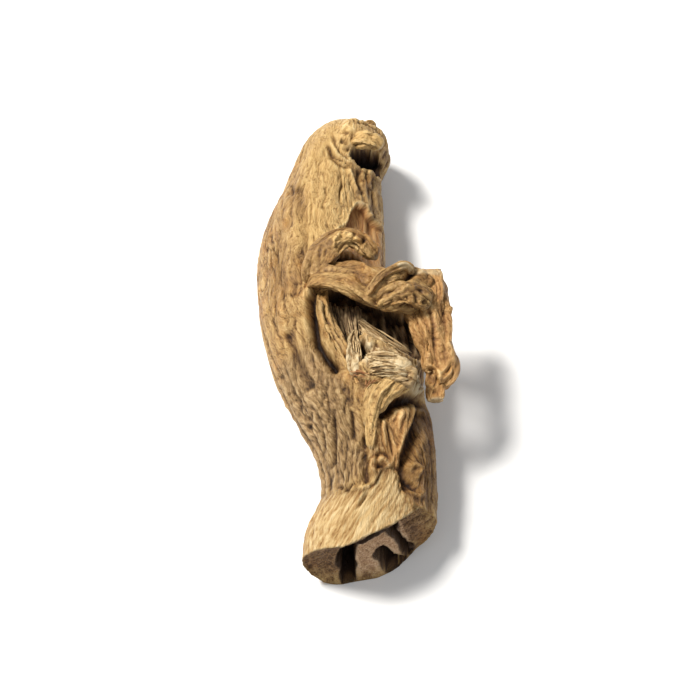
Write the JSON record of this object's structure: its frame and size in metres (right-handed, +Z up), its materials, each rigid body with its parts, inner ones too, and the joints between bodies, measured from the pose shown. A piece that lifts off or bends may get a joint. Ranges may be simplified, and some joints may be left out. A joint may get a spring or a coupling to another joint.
{
  "type": "ferula root",
  "caption": "Dried, furrowed piece of ferula root lying on its side, with a sawn end, a torn hollow and a side root folded across its top.",
  "frame": {"origin": "middle of the root's box, on the surface that it lies on", "axes": "+Y along the root towards its crown, -Y at the sawn end, +Z up, +X towards the side that the folded side root reaches over"},
  "size_m": [0.039, 0.1, 0.0261],
  "materials": {
    "bark": "dry, matt, wrinkled bark in pale ochre and grey brown, with paler bare wood at the sawn end"
  },
  "bodies": {
    "root": {"root": "bark"}
  },
  "joints": []
}
